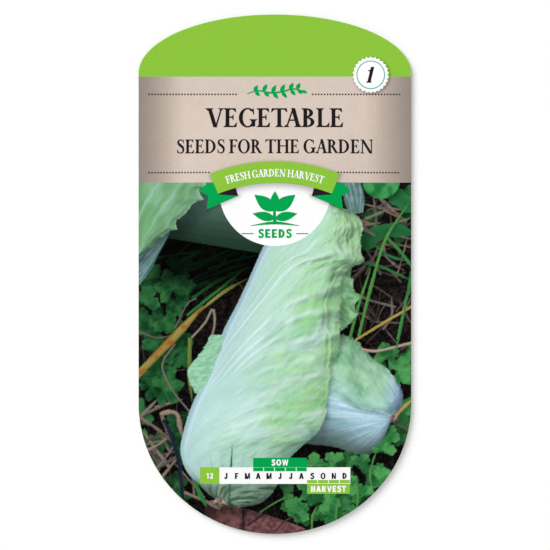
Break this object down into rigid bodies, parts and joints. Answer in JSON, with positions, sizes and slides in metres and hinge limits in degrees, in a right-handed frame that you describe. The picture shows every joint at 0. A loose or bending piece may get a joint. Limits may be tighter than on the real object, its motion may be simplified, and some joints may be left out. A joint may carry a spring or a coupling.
{
  "type": "seed packet",
  "caption": "Flat seed packet with a low domed head and a deep round foot: two glued paper sheets around a glassine pouch of seeds.",
  "frame": {"origin": "on the surface the packet rests on, under the middle of its outline", "axes": "+Z out of the printed front, +Y towards the packet's head, +X to the right of the print"},
  "size_m": [0.09, 0.1714, 0.0035],
  "materials": {
    "coated_paper": "satin",
    "back_paper": "matte",
    "glue": "satin",
    "glassine": "satin",
    "seed": "matte"
  },
  "bodies": {
    "root": {"front_sheet": "coated_paper", "back_sheet": "back_paper", "rim_glue": "glue", "pouch_front": "glassine", "pouch_back": "glassine", "pouch_glue": "glue", "seed_heap": "seed", "seed_01": "seed", "seed_02": "seed", "seed_03": "seed", "seed_04": "seed", "seed_05": "seed", "seed_06": "seed", "seed_07": "seed", "seed_08": "seed", "seed_09": "seed", "seed_10": "seed", "seed_11": "seed", "seed_12": "seed", "seed_13": "seed", "seed_14": "seed", "seed_15": "seed", "seed_16": "seed", "seed_17": "seed", "seed_18": "seed", "seed_19": "seed", "seed_20": "seed", "seed_21": "seed", "seed_22": "seed", "seed_23": "seed", "seed_24": "seed"}
  },
  "joints": []
}
